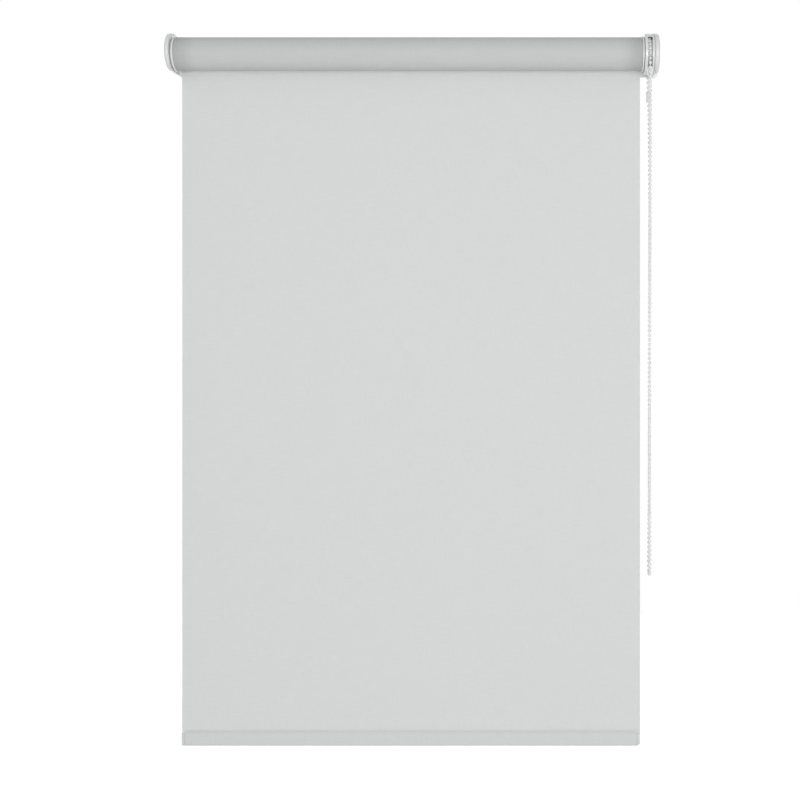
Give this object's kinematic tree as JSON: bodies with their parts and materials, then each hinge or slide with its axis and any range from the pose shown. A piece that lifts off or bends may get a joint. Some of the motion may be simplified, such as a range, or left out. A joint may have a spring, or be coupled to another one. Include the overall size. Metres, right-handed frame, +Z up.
{
  "type": "roller blind",
  "caption": "Chain-operated roller blind: cloth on a tube roller with a weighted hem, wall brackets with covers, sprung idle pin and a bead chain pulley with a clutch.",
  "frame": {"origin": "on the wall plane, at the height of the roller axis, midway across the cloth", "axes": "+Z up, +Y into the wall, +X to the right as seen from the room, along the roller axis towards the chain drive"},
  "size_m": [0.6345, 0.055, 0.9274],
  "materials": {
    "cloth": "plain woven polyester, pale grey",
    "tube_aluminium": "mill finish",
    "pvc_strip": "extruded",
    "white_moulding": "satin moulded",
    "white_nylon": "moulded",
    "white_powder_coat": "fine powder coat",
    "zinc_steel": "zinc plated",
    "spring_steel": "drawn wire",
    "bead_plastic": "moulded beads"
  },
  "bodies": {
    "wall_frame": {"bracket_left": "white_powder_coat", "bracket_right": "white_powder_coat", "cover_left": "white_moulding", "cover_right": "white_moulding", "chain_guard": "white_moulding", "clutch_hub": "white_nylon", "clutch_washer": "zinc_steel", "clutch_screw": "zinc_steel", "bead_chain": "bead_plastic", "chain_on_sprocket": "bead_plastic", "chain_connector": "bead_plastic", "fabric_drop": "cloth"},
    "roller": {"roller_tube": "tube_aluminium", "fabric_spline": "pvc_strip", "fabric_roll": "cloth", "idle_plug": "white_nylon", "plug_end_cap": "white_nylon", "drive_crown": "white_nylon", "chain_sprocket": "white_nylon", "clutch_spring_inner": "spring_steel", "clutch_spring_outer": "spring_steel"},
    "bottom_bar": {"hem_pocket": "cloth", "weight_bar": "tube_aluminium", "bar_cap_left": "white_moulding", "bar_cap_right": "white_moulding"},
    "idle_pin": {"idle_pin": "zinc_steel", "idle_pin_spring": "spring_steel"}
  },
  "joints": [
    {"name": "roller_turn", "type": "hinge", "parent": "wall_frame", "child": "roller", "pos_m": [0, -0.029, 0], "axis": [1, 0, 0], "range_deg": [-4050, 2268]},
    {"name": "bar_lift", "type": "slide", "parent": "wall_frame", "child": "bottom_bar", "axis": [0, 0, 1], "range_m": [-1.53, 0.858], "deforming": ["fabric_drop"]},
    {"name": "pin_retract", "type": "slide", "parent": "wall_frame", "child": "idle_pin", "axis": [1, 0, 0], "range_m": [0, 0.0045], "stiffness_N_per_m": 300, "springref_m": -0.004, "deforming": ["idle_pin_spring"]}
  ],
  "couplings": [
    {"joint": "bar_lift", "follows": "roller_turn", "m_per_rad": 0.0216}
  ]
}
